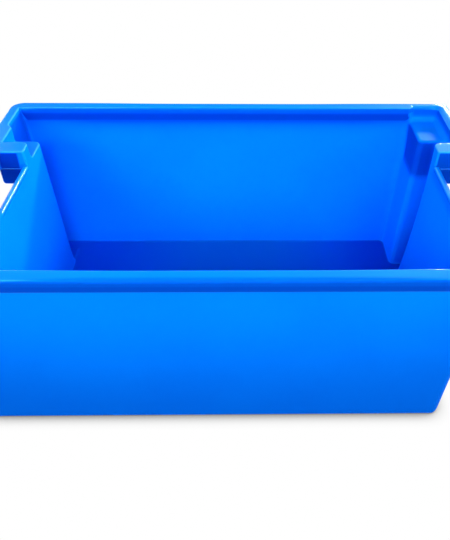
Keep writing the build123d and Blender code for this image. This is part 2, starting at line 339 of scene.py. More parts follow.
def rim_top(x, y):
    """Height of the rim: level, but on the long sides it falls a little towards the bead."""
    flat_end = HALF_WIDTH - RIM_FLAT
    inner = np.clip((flat_end - y) / (flat_end - BEAD_EDGE), 0.0, 1.0)
    right_end = BEAD_RIGHT - 2.0
    along = eased(-END - RIM_FALL_RUN, -END + RIM_FALL_RUN, x)
    along = along * eased(right_end + RIM_FALL_RUN, right_end - RIM_FALL_RUN, x)
    return HEIGHT - RIM_FALL * inner * along * beside_bead(y)


def crate(x, y, z):
    """Distance from the plastic of the crate: below zero in the plastic."""
    y = np.abs(y)
    reach = np.abs(x)
    fall = (HEIGHT - z) / (HEIGHT - FLOOR_TOP)
    grip_wall = np.where(x < 0.0, left_grip_reach(fall), right_grip_reach(fall))

    # Walls and floor
    sides, unlined = hollow_sides(x, y, z, fall)
    sill = SILL * eased(-SILL_EDGE, -SILL_EDGE - SILL_RUN, x)
    sill = sill * eased(SILL_END + SILL_SOFT, SILL_END - SILL_SOFT, y)
    hollow = both(sides, FLOOR_TOP + sill - z, FLOOR_ROUND)
    base_round = BASE_ROUND + BASE_LIFT * eased(BASE_END - BASE_RUN, BASE_END, x)
    outside = both(unlined - WALL, base_height(x, y) - z, base_round)
    hollow = both(hollow, -rim_bead(x, y, z), BEAD_FILLET)
    hollow = either(hollow, tray_lead(x, y, z), LEAD_ROUND)

    # Rim with its sloping skirt
    rim_corner = np.where(x < 0.0, RIM_CORNER, RIGHT_RIM_CORNER)
    over_x = reach - HALF_LENGTH + rim_corner
    over_y = y - HALF_WIDTH + rim_corner
    outline = np.hypot(np.maximum(over_x, 0.0), np.maximum(over_y, 0.0))
    outline = outline + np.minimum(np.maximum(over_x, over_y), 0.0) - rim_corner
    skirt_part = np.clip((DECK_UNDER - z) / (DECK_UNDER - SKIRT_UNDER), 0.0, 1.0)
    skirt_tilt = math.hypot(1.0, SKIRT_SLOPE / (DECK_UNDER - SKIRT_UNDER))
    skirt = (outline + SKIRT_SLOPE * skirt_part) / skirt_tilt
    rim = both(skirt, SKIRT_UNDER - z, SKIRT_ROUND)
    grip_room = np.maximum(grip_wall - reach, y - GRIP_HALF + WALL / 2)
    rim = np.maximum(rim, -grip_room)
    outside = either(outside, rim, SKIRT_FILLET)

    # Grip bars and decks, open below, and the dips between them and the walls
    arm = np.maximum(DIP_HALF - y, grip_wall - reach)
    grip = either(BAR_INNER - reach, arm, DIP_ROUND)
    grip = np.maximum(grip, y - GRIP_HALF + WALL / 3)
    grip = both(grip, skirt, GRIP_ROUND)
    outside = np.minimum(outside, both(grip, GRIP_UNDER - z, GRIP_ROUND))
    channel = np.maximum(np.maximum(grip + WALL, z - DECK_UNDER), WALL - unlined)
    dip = both(y - DIP_HALF, reach - BAR_INNER, DIP_ROUND)
    dip = np.maximum(dip, np.maximum(LIP_UNDER + LIP_ROUND - z, grip_wall - NOSE_ROUND - reach))
    hollow = either(hollow, dip, BAND_ROUND)
    plastic = np.maximum(outside, np.maximum(-hollow, -channel))

    # Lips of the dips, and nest stops under the decks
    lip_across = np.abs(reach - grip_wall - LIP_WIDTH / 2) - LIP_WIDTH / 2
    lip_up = np.abs(z - (LIP_UNDER + DIP_TOP) / 2) - (DIP_TOP - LIP_UNDER) / 2
    lip = np.maximum(both(lip_across, lip_up, LIP_ROUND), y - DIP_HALF - WALL / 2)
    stop_end = STOP_END - STOP_TAPER * (DECK_UNDER - z) / (DECK_UNDER - STOP_UNDER)
    stop = both(reach - stop_end, STOP_UNDER - z, STOP_ROUND)
    stop = both(stop, np.abs(y - STOP_MIDDLE) - STOP_WALL / 2, STOP_EDGE)
    stop = np.maximum(stop, np.maximum(grip_wall + WALL / 2 - reach, z - DECK_UNDER - WALL / 2))
    plastic = np.minimum(plastic, np.minimum(lip, stop))
    worn = rim_middle(x) * beside_bead(y)
    return both(plastic, z - rim_top(x, y), RIM_ROUND + (RIM_SOFT - RIM_ROUND) * worn)


# Grid in which the skin is found: fine where the crate has forms, wide on the plain stretches between
FINE = 1.0
BASE_FINER = 0.8
GRID_MARGIN = 1.7
LEFT_FORMS = -243.0
PAD_END_START = 206.0
PAD_END_STOP = 224.0
RIGHT_FORMS = 244.0
GRIP_FORMS_START = 46.0
GRIP_FORMS_STOP = 148.0
SIDE_FORMS = 172.0
BASE_FORMS = 11.0
LOW_WALLS = 45.0
RIM_FORMS = 186.0

# How points are drawn to the skin: rounds, reach of a slope, longest step and least slope squared
DRAW_ROUNDS = 4
DRAW_REACH = 0.02
DRAW_STEP = 1.5
LEAST_SLOPE = 0.25


def ticks(*runs):
    """Grid lines from runs of (start, stop, spacing); each run starts where the last one stopped."""
    lines = []
    for start, stop, spacing in runs:
        count = max(1, math.ceil((stop - start) / spacing))
        lines.extend(start + (stop - start) * index / count for index in range(count))
    lines.append(runs[-1][1])
    return np.array(lines)


def slopes(points, reach):
    """Direction in which the distance grows, at each point."""
    direction = np.empty_like(points)
    for axis in range(3):
        ahead = points.copy()
        behind = points.copy()
        ahead[:, axis] += reach
        behind[:, axis] -= reach
        direction[:, axis] = (crate(*ahead.T) - crate(*behind.T)) / (2.0 * reach)
    return direction


def draw_to_skin(points):
    """Moves points that are near the skin onto it."""
    for _ in range(DRAW_ROUNDS):
        direction = slopes(points, DRAW_REACH)
        steep = np.maximum((direction ** 2).sum(axis=1), LEAST_SLOPE)
        step = np.clip(crate(*points.T), -DRAW_STEP, DRAW_STEP) / steep
        points = points - direction * step[:, None]
    return points


def rear_skin():
    """Points and four-sided faces of the skin on the rear half, down to the middle plane."""
    fine = FINE
    grid_x = ticks(
        (-HALF_LENGTH - GRID_MARGIN, LEFT_FORMS, fine),
        (LEFT_FORMS, PAD_END_START, 16.0),
        (PAD_END_START, PAD_END_STOP, 2.0),
        (PAD_END_STOP, RIGHT_FORMS, 5.0),
        (RIGHT_FORMS, HALF_LENGTH + GRID_MARGIN, fine),
    )
    grid_y = ticks(
        (-7.0, GRIP_FORMS_START, 14.0),
        (GRIP_FORMS_START, GRIP_FORMS_STOP, fine),
        (GRIP_FORMS_STOP, SIDE_FORMS, 8.0),
        (SIDE_FORMS, HALF_WIDTH + GRID_MARGIN, fine),
    )
    grid_z = ticks(
        (-GRID_MARGIN, BASE_FORMS, fine * BASE_FINER),
        (BASE_FORMS, LOW_WALLS, 4.0),
        (LOW_WALLS, RIM_FORMS, 9.0),
        (RIM_FORMS, HEIGHT + GRID_MARGIN, fine),
    )
    grid_y[0] = -grid_y[1]
    lines = (grid_x, grid_y, grid_z)
    field = crate(grid_x[:, None, None], grid_y[None, :, None], grid_z[None, None, :])
    inside = field < 0.0
    cells = [len(line) - 1 for line in lines]

    owners = []
    crossings = []
    quads = []
    for axis in range(3):
        near = [slice(None)] * 3
        far = [slice(None)] * 3
        near[axis] = slice(None, -1)
        far[axis] = slice(1, None)
        near, far = tuple(near), tuple(far)
        crossed = inside[near] != inside[far]
        index = np.array(np.nonzero(crossed))
        start = field[near][crossed]
        part = start / (start - field[far][crossed])
        point = np.array([lines[way][index[way]] for way in range(3)])
        ahead = lines[axis][index[axis] + 1] - lines[axis][index[axis]]
        point[axis] += part * ahead
        turn, lift = (axis + 1) % 3, (axis + 2) % 3
        ring = []
        for step_turn, step_lift in ((0, 0), (-1, 0), (-1, -1), (0, -1)):
            cell = index.copy()
            cell[turn] += step_turn
            cell[lift] += step_lift
            inside_grid = (cell[1] >= 0) & (cell[1] < cells[1])
            owner = (cell[0] * cells[1] + cell[1]) * cells[2] + cell[2]
            owners.append(owner[inside_grid])
            crossings.append(point[:, inside_grid])
            ring.append(owner)
        ring = np.array(ring).T
        outward = inside[near][crossed]
        ring[~outward] = ring[~outward][:, ::-1]
        quads.append(ring[index[1] > 0])

    owner = np.concatenate(owners)
    crossing = np.concatenate(crossings, axis=1)
    names, slots = np.unique(owner, return_inverse=True)
    shares = np.bincount(slots)
    points = np.array([np.bincount(slots, weights=row) / shares for row in crossing]).T
    faces = np.searchsorted(names, np.concatenate(quads))
    middle = (names // cells[2]) % cells[1] == 0
    points[middle, 1] = 0.0
    points = draw_to_skin(points)
    points[middle, 1] = 0.0
    return points, faces, middle


def whole_skin():
    """The crate's skin as one closed mesh."""
    points, faces, middle = rear_skin()
    twin = np.where(middle, np.arange(len(points)), 0)
    twin[~middle] = len(points) + np.arange((~middle).sum())
    mirrored = points[~middle] * (1.0, -1.0, 1.0)
    points = np.concatenate([points, mirrored])
    faces = np.concatenate([faces, twin[faces][:, ::-1]])
    skin = bpy.data.meshes.new("crate_skin")
    skin.vertices.add(len(points))
    skin.vertices.foreach_set("co", points.ravel())
    skin.loops.add(faces.size)
    skin.loops.foreach_set("vertex_index", faces.ravel())
    skin.polygons.add(len(faces))
    skin.polygons.foreach_set("loop_start", np.arange(0, faces.size, 4))
    skin.update(calc_edges=True)
    skin.validate()
    whole = bmesh.new()
    whole.from_mesh(skin)
    bpy.data.meshes.remove(skin)
    whole.faces.layers.int.new("seam")
    return whole


CUT_REACH = 1e-5


def cut(solid, axis, place):
    """Cuts a closed mesh by a plane across an axis into two closed ones: below it and above it."""
    halves = []
    normal = [0.0, 0.0, 0.0]
    normal[axis] = 1.0
    point = [0.0, 0.0, 0.0]
    point[axis] = place
    for keep_below in (True, False):
        half = solid.copy()
        geometry = half.verts[:] + half.edges[:] + half.faces[:]
        made = bmesh.ops.bisect_plane(
            half, geom=geometry, dist=CUT_REACH, plane_co=point, plane_no=normal,
            clear_outer=keep_below, clear_inner=not keep_below,
        )
        rim_edges = [item for item in made["geom_cut"] if isinstance(item, bmesh.types.BMEdge)]
        rim_edges = [item for item in rim_edges if item.is_boundary]
        if rim_edges:
            facing = normal if keep_below else [-value for value in normal]
            filled = bmesh.ops.triangle_fill(half, edges=rim_edges, normal=facing, use_beauty=False)
            layer = half.faces.layers.int["seam"]
            for item in filled["geom"]:
                if isinstance(item, bmesh.types.BMFace):
                    item[layer] = 1
        halves.append(half)
    return halves


def between(solid, axis, limit):
    """Cuts a mesh at plus and minus a limit: below, middle, above."""
    below, rest = cut(solid, axis, -limit)
    middle, above = cut(rest, axis, limit)
    return below, middle, above


def apart(solid, axis, place):
    """Parts a mesh whose loose shells lie wholly on one side of a plane or the other."""
    halves = []
    for keep_below in (True, False):
        half = solid.copy()
        gone = [face for face in half.faces if (face.calc_center_median()[axis] < place) != keep_below]
        bmesh.ops.delete(half, geom=gone, context="FACES")
        halves.append(half)
    return halves


def crate_pieces():
    """The skin cut at the seams of the solids, as (name, mesh, solids it stands for)."""
    made = []

    def keep(name, mesh, *covered):
        made.append((name, mesh, covered or (name,)))

    base, walls = cut(whole_skin(), 2, BASE_SEAM)
    keep("base_panel", base, "base_panel", "base_pad")
    left, rest = cut(walls, 0, LEFT_SEAM)
    middle, right = cut(rest, 0, RIGHT_SEAM)

    for side, half in zip(("front", "rear"), apart(middle, 1, 0.0)):
        wall, rim = cut(half, 2, SKIRT_UNDER)
        keep(f"{side}_wall", wall)
        keep(f"{side}_rim", rim, f"{side}_rim", f"{side}_rim_bead")

    lower, upper = cut(left, 2, TRAY_SEAM)
    front, grip_wall, rear = between(lower, 1, FOOT_SEAM)
    keep("front_left_corner_foot", front)
    keep("rear_left_corner_foot", rear)
    grips = [("left", upper, grip_wall)]

    lower, upper = cut(right, 2, TRAY_SEAM)
    front, middle, rear = between(lower, 1, COLUMN_SEAM)
    keep("front_right_column", front)
    keep("rear_right_column", rear)
    front, grip_wall, rear = between(middle, 1, GRIP_SEAM)
    keep("front_right_fin", front)
    keep("rear_right_fin", rear)
    grips.append(("right", upper, grip_wall))

    stop_fall = (HEIGHT - TRAY_SEAM) / (HEIGHT - FLOOR_TOP)
    for end, upper, grip_wall in grips:
        front, middle, rear = between(upper, 1, GRIP_SEAM)
        front_deck, dip, rear_deck = between(middle, 1, DIP_HALF - DIP_ROUND)
        if end == "left":
            stops, wall = cut(grip_wall, 0, -left_grip_reach(stop_fall) - WALL - STOP_CLEAR)
            bar, lip = apart(dip, 0, -BAR_INNER + NOSE_ROUND)
        else:
            wall, stops = cut(grip_wall, 0, right_grip_reach(stop_fall) + WALL + STOP_CLEAR)
            lip, bar = apart(dip, 0, BAR_INNER - NOSE_ROUND)
        keep(f"{end}_grip_wall", wall)
        keep(f"{end}_grip_bar", bar)
        keep(f"{end}_grip_lip", lip)
        front_stop, rear_stop = apart(stops, 1, 0.0)
        for side, corner, deck, stop in (
            ("front", front, front_deck, front_stop),
            ("rear", rear, rear_deck, rear_stop),
        ):
            keep(f"{side}_{end}_rim_corner", corner, f"{side}_{end}_rim_corner", f"{side}_{end}_tray")
            keep(f"{side}_{end}_grip_deck", deck)
            keep(f"{side}_{end}_nest_stop", stop)
    return made


# Places where the painted shade and the lighter edges (partly wear, partly painted highlight) change, in
# millimetres
WEAR_HIGHLIGHT_REACH = 1.2
WEAR_HIGHLIGHT_LOWEST = 8.0
WEAR_HIGHLIGHT_FULL = 14.0
FLOOR_LOW = 8.0
FLOOR_HIGH = 16.0
RIGHT_RUN = 8.0
FIN_FRONT = 98.0
FIN_REAR = 104.0
COLUMN_FRONT = 112.0
BEAD_FADE = 10.5
CHEEK_INNER = 30.0
CHEEK_FULL = 26.0

# How much painted shade darkens the colour there: 1 is the blue of painted shade, 2 the darker blue of
# painted shade
FLOOR_PAINTED_SHADE = 1.12
FLOOR_RIGHT_PAINTED_SHADE = 0.25
BEAD_PAINTED_SHADE = 1.5
SKIRT_PAINTED_SHADE = 1.14
BEAD_ROOT_PAINTED_SHADE = 1.15
RIM_PAINTED_SHADE = 0.9
OUTER_WALL_PAINTED_SHADE = 0.5
INNER_WALL_PAINTED_SHADE = 0.35
COLUMN_PAINTED_SHADE = 1.3
COLUMN_END_LOSS = 0.5
FIN_PAINTED_SHADE = 0.8
LIP_PAINTED_SHADE = 0.5
LEFT_CHEEK_PAINTED_SHADE = 2.0
RIGHT_CHEEK_PAINTED_SHADE = 1.85
# Grey painted shade on the right grip cheeks
CHEEK_GREY_PAINTED_SHADE = 0.28

# How strongly the rim shines, and how much of the edge wear and painted highlight is lost
SIDE_SHEEN = 0.4
LEFT_SHEEN = 0.5
RIGHT_SHEEN = 1.1
RIM_WEAR_HIGHLIGHT_LOSS = 2.0
TRAY_WEAR_HIGHLIGHT_LOSS = 0.8


# Each eased pair below says where a look starts and where it is full: in millimetres, or as the cosine
# of the angle between the skin's direction and an axis
def faces(way):
    """1 where the skin faces a way, and 0 where it turns well aside from it."""
    return eased(0.5, 0.8, way)


def on_floor(up, z):
    """1 on what faces up at the height of the floor."""
    return faces(up) * eased(FLOOR_HIGH, FLOOR_LOW, z)


def at_right_end(x):
    """1 past the seam of the right end."""
    return eased(RIGHT_SEAM, RIGHT_SEAM + RIGHT_RUN, x)


# Lighter, glossier convex edges: partly wear, partly painted highlight
def wear_and_highlight_edges(points):
    """How sharply the skin bends outwards at each point above the floor, from 0 to 1."""
    bend = np.zeros(len(points))
    for axis in range(3):
        for way in (-WEAR_HIGHLIGHT_REACH, WEAR_HIGHLIGHT_REACH):
            beside = points.copy()
            beside[:, axis] += way
            bend += crate(*beside.T)
    return np.clip(bend / WEAR_HIGHLIGHT_REACH ** 2, 0.0, 1.0) * eased(WEAR_HIGHLIGHT_LOWEST, WEAR_HIGHLIGHT_FULL, points[:, 2])


def grip_cheek(reach, y, z):
    """1 on the cheeks beside a hand opening and on the nest stops under them."""
    across = eased(STOP_MIDDLE + 4.0, STOP_MIDDLE + 2.0, y) * eased(DIP_HALF - 1.0, DIP_HALF - 0.2, y)
    along = eased(BAR_INNER - CHEEK_INNER, BAR_INNER - CHEEK_FULL, reach)
    return across * along * eased(HEIGHT - 1.0, HEIGHT - 4.0, z)


def rim_shade(points, facing):
    """Painted shade on the edges of the long rims, wider on the front one in the middle of its length.
    """
    x, y, z = points.T
    reach, side = np.abs(x), np.abs(y)
    lowest = np.where(side > SIDE + 6.0, HEIGHT - 16.0, HEIGHT - 9.0)
    to_left = eased(-120.0, -230.0, x)
    edges = eased(0.92 - 0.37 * to_left, 0.40 - 0.1 * to_left, facing[:, 2])
    edges = edges * eased(END, END - 30.0, reach) * eased(BEAD_EDGE - 3.0, BEAD_EDGE - 1.0, side)
    front = eased(-HALF_WIDTH + 8.0, -HALF_WIDTH - 1.0, y) * eased(270.0, 140.0, x) * (1.0 - to_left)
    return np.maximum(edges, front) * eased(lowest, lowest + 2.0, z)


def bead_shade(x, y, z, up, inward):
    """Painted shade under the bead and the skirt, and painted shadow on the wall close below the bead.
    """
    lowest = np.where(y < SIDE, BEAD_UNDER - 1.0, SKIRT_UNDER - 3.0)
    under = eased(-0.06, -0.18, up) * eased(lowest - 2.0, lowest, z)
    under = under * (0.4 + 0.6 * eased(HEIGHT - 3.0, HEIGHT - 13.0, z))
    under = under * np.where(y < SIDE, BEAD_PAINTED_SHADE, SKIRT_PAINTED_SHADE)
    root = np.exp(np.minimum(z - BEAD_UNDER - 3.0, 0.0) / BEAD_FADE)
    root = root * eased(BEAD_UNDER + 9.0, BEAD_UNDER + 4.0, z)
    root = root * (0.6 + 0.4 * eased(300.0, 180.0, np.abs(x)))
    root = root * eased(0.3, 0.8, inward) * eased(BEAD_RIGHT + 2.0, BEAD_RIGHT - 8.0, x)
    return np.maximum(under, BEAD_ROOT_PAINTED_SHADE * root)


def wall_shade(x, z, facing, inward):
    """Painted shade low on the outside, and inside low on the long walls' right part and on the left
    end.
    """
    outside = OUTER_WALL_PAINTED_SHADE * faces(-inward) * eased(190.0, 10.0, z - 0.12 * np.maximum(x, 0.0))
    right = INNER_WALL_PAINTED_SHADE * faces(inward) * eased(140.0, 240.0, x) * eased(210.0, 60.0, z)
    left = INNER_WALL_PAINTED_SHADE * eased(0.3, 0.7, facing[:, 0])
    left = left * eased(0.0, -100.0, x) * eased(110.0, 20.0, z)
    return np.maximum.reduce([outside, right, left])


def corner_shade(x, y, z, facing):
    """Painted shade on the end above the left trays, on the walls of the right trays and painted shadow
    on the columns under the trays.
    """
    left = eased(-END + 10.0, -END + 5.0, x) * eased(0.4, 0.75, facing[:, 0])
    left = left * eased(JOG_Y + 8.0, JOG_Y + 14.0, y) * eased(HEIGHT - 3.0, HEIGHT - 8.0, z)
    mouth_top = HEIGHT - LEAD_DEPTH
    mouth = eased(BEAD_RIGHT - 2.0, BEAD_RIGHT + 4.0, x) * eased(TRAY_TOP + 2.0, TRAY_TOP + 13.0, z)
    mouth = mouth * eased(mouth_top, mouth_top - 1.5, z) * eased(0.5, 0.2, facing[:, 2])
    mouth = mouth * eased(SIDE + 1.0, SIDE, y) * eased(END + 1.0, END, x)
    column = eased(RIGHT_SEAM + 9.0, RIGHT_SEAM + 15.0, x) * eased(157.0, 168.0, z)
    column = column * eased(TRAY_TOP, TRAY_TOP - 5.0, z)
    column = column * eased(4.0, -4.0, y - 190.0 + (211.0 - z) * 0.24)
    column = column * (COLUMN_PAINTED_SHADE - COLUMN_END_LOSS * eased(284.0, 298.0, x))
    return np.maximum(left, np.maximum(mouth, column) * eased(FIN_REAR, COLUMN_FRONT, y))


def grip_shade(x, y, z, facing, inward):
    """Painted shade on the right fins, painted shadow on the wall below the right lip, and painted shade
    on the cheeks of both grips.
    """
    fin = at_right_end(x) * eased(0.06, 0.26, -inward) * eased(165.0, 185.0, z)
    fin = fin * eased(HEIGHT - 4.0, HEIGHT - 9.0, z) * eased(FIN_REAR, FIN_FRONT, y)
    below_lip = at_right_end(x) * eased(LIP_UNDER - 16.0, LIP_UNDER, z)
    below_lip = below_lip * eased(DIP_HALF + 6.0, DIP_HALF - 2.0, y) * eased(-0.6, -0.9, facing[:, 0])
    cheek = np.where(x < 0.0, LEFT_CHEEK_PAINTED_SHADE, RIGHT_CHEEK_PAINTED_SHADE) * grip_cheek(np.abs(x), y, z)
    return np.maximum.reduce([FIN_PAINTED_SHADE * fin, LIP_PAINTED_SHADE * below_lip, cheek])


def painted_shade_amount(points, facing):
    """How much painted shade darkens the colour: 1 on the floor and under the rim, 2 on the grip cheeks.
    """
    x, y, z = points.T
    up = facing[:, 2]
    inward = -facing[:, 1] * np.sign(y)
    y = np.abs(y)
    # Painted shade on the floor, stronger towards the right end
    floor = on_floor(up, z) * (FLOOR_PAINTED_SHADE + FLOOR_RIGHT_PAINTED_SHADE * eased(150.0, 260.0, x))
    return np.maximum.reduce([
        floor,
        RIM_PAINTED_SHADE * rim_shade(points, facing),
        bead_shade(x, y, z, up, inward),
        wall_shade(x, z, facing, inward),
        corner_shade(x, y, z, facing),
        grip_shade(x, y, z, facing, inward),
    ])


def grey_painted_shade_amount(points, facing):
    """How much grey painted shade darkens the colour: in the middle of the floor and on the right grip
    cheeks.
    """
    x, y, z = points.T
    middle = on_floor(facing[:, 2], z) * eased(240.0, 30.0, np.abs(x))
    return middle + CHEEK_GREY_PAINTED_SHADE * grip_cheek(x, np.abs(y), z)


def wear_and_highlight_share(points, facing):
    """Share of the edge wear and painted highlight that is left: less on rim edges with painted shade
    and on the right trays.
    """
    x, y, z = points.T
    tray = at_right_end(x) * eased(FIN_FRONT, FIN_FRONT + RIGHT_RUN, np.abs(y))
    tray = tray * eased(9.0, 6.0, np.abs(z - TRAY_TOP))
    rim = np.maximum(1.0 - RIM_WEAR_HIGHLIGHT_LOSS * rim_shade(points, facing), 0.0)
    return rim * (1.0 - TRAY_WEAR_HIGHLIGHT_LOSS * tray)


def rim_sheen(points):
    """How much the top of the rim shines: most at the right end and least along the sides."""
    x, y, z = points.T
    right = np.maximum(eased(297.0, 309.0, x), eased(200.0, 250.0, x) * eased(150.0, 110.0, np.abs(y)))
    right = np.maximum(right, eased(266.0, 278.0, x) * eased(150.0, 180.0, y))
    left = eased(-280.0, -305.0, x)
    amount = SIDE_SHEEN + RIGHT_SHEEN * right + LEFT_SHEEN * left
    return eased(HEIGHT - 6.0, HEIGHT - 2.5, z) * amount


# Reach of a slope that gives the skin's direction, and the least length that is divided by
NORMAL_REACH = 0.35
TINY = 1e-6


def set_skin(name, solid, covered, finish):
    """Turns one cut mesh into a piece of the crate, with the skin's own normals on its faces."""
    mesh = bpy.data.meshes.new(f"{name}_skin")
    solid.to_mesh(mesh)
    solid.free()
    count = len(mesh.vertices)
    points = np.empty(count * 3)
    mesh.vertices.foreach_get("co", points)
    points = points.reshape(-1, 3)
    direction = slopes(points, NORMAL_REACH)
    direction /= np.maximum(np.linalg.norm(direction, axis=1), TINY)[:, None]
    # Marks for the material: edges of wear and painted highlight, painted shade, grey painted shade, and
    # rim gloss
    shades = {
        "edge": wear_and_highlight_edges(points) * wear_and_highlight_share(points, direction),
        "deep": painted_shade_amount(points, direction),
        "dull": grey_painted_shade_amount(points, direction),
        "sheen": rim_sheen(points),
    }
    for shade, amount in shades.items():
        layer = mesh.attributes.new(shade, "FLOAT", "POINT")
        layer.data.foreach_set("value", amount)

    seam = np.empty(len(mesh.polygons), dtype=np.int32)
    mesh.attributes["seam"].data.foreach_get("value", seam)
    totals = np.empty(len(mesh.polygons), dtype=np.int32)
    mesh.polygons.foreach_get("loop_total", totals)
    flat = np.empty(len(mesh.polygons) * 3)
    mesh.polygons.foreach_get("normal", flat)
    flat = np.repeat(flat.reshape(-1, 3), totals, axis=0)
    corners = np.empty(len(mesh.loops), dtype=np.int32)
    mesh.loops.foreach_get("vertex_index", corners)
    normals = np.where(np.repeat(seam == 1, totals)[:, None], flat, direction[corners])
    mesh.vertices.foreach_set("co", (points * MM).ravel())
    mesh.polygons.foreach_set("use_smooth", np.ones(len(mesh.polygons), dtype=bool))
    mesh.normals_split_custom_set(normals.tolist())
    mesh.attributes.remove(mesh.attributes["seam"])
    mesh.materials.append(finish)
    piece = bpy.data.objects.new(f"{name}_skin", mesh)
    bpy.context.collection.objects.link(piece)
    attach(piece, "root")
    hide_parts(*covered)
    return piece


class Shade:
    """A socket that takes part in sums: an expression on it adds Math nodes."""

    def __init__(self, finish, socket):
        self.finish = finish
        self.socket = socket

    def math(self, operation, first, second):
        return self.finish.node("ShaderNodeMath", {"operation": operation}, {0: first, 1: second})

    def __add__(self, other):
        return self.math("ADD", self, other)

    def __radd__(self, other):
        return self.math("ADD", other, self)

    def __sub__(self, other):
        return self.math("SUBTRACT", self, other)

    def __rsub__(self, other):
        return self.math("SUBTRACT", other, self)

    def __mul__(self, other):
        return self.math("MULTIPLY", self, other)

    def __rmul__(self, other):
        return self.math("MULTIPLY", other, self)


class Finish:
    """Node tree of a material or of the world, filled through one method."""

    def __init__(self, owner):
        owner.use_nodes = True
        self.tree = owner.node_tree
        self.tree.nodes.clear()

    def node(self, kind, settings, inputs, output=0):
        """Adds a node: its settings first, then the values or links of its sockets."""
        made = self.tree.nodes.new(kind)
        for setting, value in settings.items():
            if setting == "stops":
                self.set_stops(made.color_ramp, value)
            else:
                setattr(made, setting, value)
        for name, value in inputs.items():
            if isinstance(value, Shade):
                self.tree.links.new(value.socket, made.inputs[name])
            else:
                made.inputs[name].default_value = value
        return Shade(self, made.outputs[output]) if made.outputs else None

    def set_stops(self, ramp, stops):
        while len(ramp.elements) < len(stops):
            ramp.elements.new(0.5)
        for element, (place, colour) in zip(ramp.elements, stops):
            element.position = place
            element.color = colour

    def mix_colour(self, factor, first, second):
        return self.node(
            "ShaderNodeMix", {"data_type": "RGBA"}, {"Factor": factor, 6: first, 7: second}, output=2
        )

    def ranged(self, value, low, high):
        """Rises smoothly from 0 where a value is low to 1 where it is high."""
        return self.node(
            "ShaderNodeMapRange", {"interpolation_type": "SMOOTHSTEP"},
            {"Value": value, 1: low, 2: high, 3: 0.0, 4: 1.0},
        )

    def attribute(self, name):
        return self.node("ShaderNodeAttribute", {"attribute_name": name}, {}, output="Fac")

    def noise(self, place, scale, detail, roughness):
        return self.node(
            "ShaderNodeTexNoise", {},
            {"Vector": place, "Scale": scale, "Detail": detail, "Roughness": roughness},
        )

    def background_rays(self):
        """1 for rays that show the background: to the camera, mirrored, or seen through something."""
        seen = self.node("ShaderNodeLightPath", {}, {}, output="Is Camera Ray")
        mirrored = self.node("ShaderNodeLightPath", {}, {}, output="Is Glossy Ray")
        through = self.node("ShaderNodeLightPath", {}, {}, output="Is Transmission Ray")
        return seen + mirrored + through


# Blues of the plastic, with its painted-shade blues and its lighter edge blue (partly wear, partly
# painted highlight), and the shares and strengths of its finish
BLUE = (0.0, 0.192, 0.95, 1.0)
BLUE_CLOUD = (0.0, 0.178, 0.92, 1.0)
BLUE_WEAR_AND_HIGHLIGHT = (0.003, 0.29, 1.0, 1.0)
BLUE_PAINTED_SHADE = (0.0, 0.060, 0.56, 1.0)
BLUE_PAINTED_DARK_SHADE = (0.0, 0.032, 0.37, 1.0)
BLUE_GREY_PAINTED_SHADE = (0.0, 0.125, 0.55, 1.0)
PAINTED_SHADE_SHARE = 0.8
WEAR_AND_HIGHLIGHT_SHARE = 0.7
ROUGHNESS = 0.46
PATCH_ROUGHNESS = 0.10
WEAR_AND_HIGHLIGHT_GLOSS = 0.16
SHEEN_COAT = 0.03
WEAR_AND_HIGHLIGHT_COAT = 0.6
GRAIN_STRENGTH = 0.10
GRAIN_DEPTH = 0.0003


def blue_plastic():
    """Polyethylene of the crate: even blue, a fine moulded grain, painted shade, and lighter, glossier
    edges that are partly wear and partly painted highlight.
    """
    material = bpy.data.materials.new("blue_plastic")
    finish = Finish(material)
    place = finish.node("ShaderNodeTexCoord", {}, {}, output="Object")
    edge, deep, dull, sheen = (finish.attribute(name) for name in ("edge", "deep", "dull", "sheen"))
    cloud = finish.noise(place, 9.0, 3.0, 0.55)
    grain = finish.noise(place, 620.0, 2.0, 0.5)
    patch = finish.noise(place, 55.0, 4.0, 0.6)
    wear_and_highlight = finish.ranged(edge * (0.6 + patch * 0.8), 0.08, 0.45)
    colour = finish.mix_colour(finish.ranged(cloud, 0.3, 0.7), BLUE_CLOUD, BLUE)
    # Painted shade: darker blue where shade falls, darkest on the grip cheeks
    colour = finish.mix_colour(deep * PAINTED_SHADE_SHARE, colour, BLUE_PAINTED_SHADE)
    colour = finish.mix_colour(finish.ranged(deep, 1.0, 2.0), colour, BLUE_PAINTED_DARK_SHADE)
    # Grey painted shade in the middle of the floor and on the right grip cheeks
    colour = finish.mix_colour(dull, colour, BLUE_GREY_PAINTED_SHADE)
    # Lighter edges: partly wear, partly painted highlight
    colour = finish.mix_colour(wear_and_highlight * WEAR_AND_HIGHLIGHT_SHARE, colour, BLUE_WEAR_AND_HIGHLIGHT)
    bump = finish.node(
        "ShaderNodeBump", {},
        {"Strength": GRAIN_STRENGTH, "Distance": GRAIN_DEPTH, "Height": grain},
    )
    shader = finish.node(
        "ShaderNodeBsdfPrincipled", {},
        {
            "Base Color": colour,
            "Roughness": ROUGHNESS + patch * PATCH_ROUGHNESS - wear_and_highlight * WEAR_AND_HIGHLIGHT_GLOSS,
            "Specular IOR Level": 0.01,
            "Coat Weight": sheen * SHEEN_COAT + wear_and_highlight * WEAR_AND_HIGHLIGHT_COAT,
            "Coat Roughness": 0.08,
            "Coat IOR": 1.5,
            "Normal": bump,
        },
    )
    finish.node("ShaderNodeOutputMaterial", {}, {"Surface": shader})
    return material


def grey(level):
    return level, level, level, 1.0


